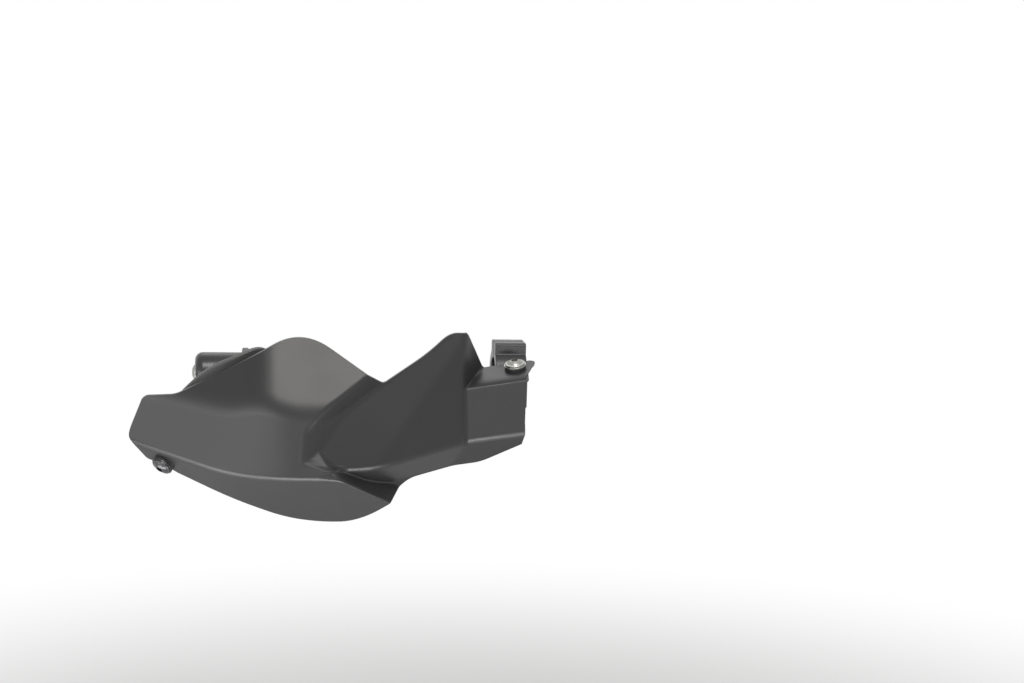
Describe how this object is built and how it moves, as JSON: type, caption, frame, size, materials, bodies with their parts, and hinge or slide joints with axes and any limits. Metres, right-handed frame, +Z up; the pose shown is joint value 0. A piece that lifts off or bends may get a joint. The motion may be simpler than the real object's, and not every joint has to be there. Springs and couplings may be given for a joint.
{
  "type": "motorcycle hand guard",
  "caption": "Faceted plastic hand guard for the left end of a motorcycle handlebar, held by a bar end bracket and a bar clamp.",
  "frame": {"origin": "centre of the inner clamp's bore, on the axis of the handlebar", "axes": "+X inboard along the handlebar, +Y to the rider, +Z up, so the shell's front face looks to -Y"},
  "size_m": [0.2584, 0.1163, 0.1201],
  "materials": {
    "shell_plastic": "injection moulded, fine even grain, satin black",
    "coated_steel": "black powder coat, semi-matt",
    "black_alloy": "black anodised and bead blasted, satin",
    "screw_steel": "zinc plated, bright",
    "dark_screw": "black oxide, oiled, shiny",
    "black_rubber": "moulded, matt"
  },
  "bodies": {
    "root": {"guard_shell": "shell_plastic", "bar_end_bracket": "coated_steel", "bar_end_weight": "black_alloy", "bar_end_screw": "screw_steel", "expander_washer": "screw_steel", "expander_sleeve": "black_rubber", "expander_cone": "screw_steel", "tip_screw": "dark_screw", "tip_washer": "dark_screw", "tip_grommet": "black_rubber", "tip_nut": "screw_steel", "ledge_screw": "screw_steel", "ledge_washer": "screw_steel", "ledge_grommet": "black_rubber", "ledge_nut": "screw_steel", "clamp_arm": "coated_steel", "clamp_front": "black_alloy", "clamp_rear": "black_alloy", "clamp_screw_upper": "screw_steel", "clamp_screw_lower": "screw_steel", "clamp_washer_upper": "screw_steel", "clamp_washer_lower": "screw_steel", "arm_screw": "screw_steel", "arm_washer": "screw_steel"}
  },
  "joints": []
}
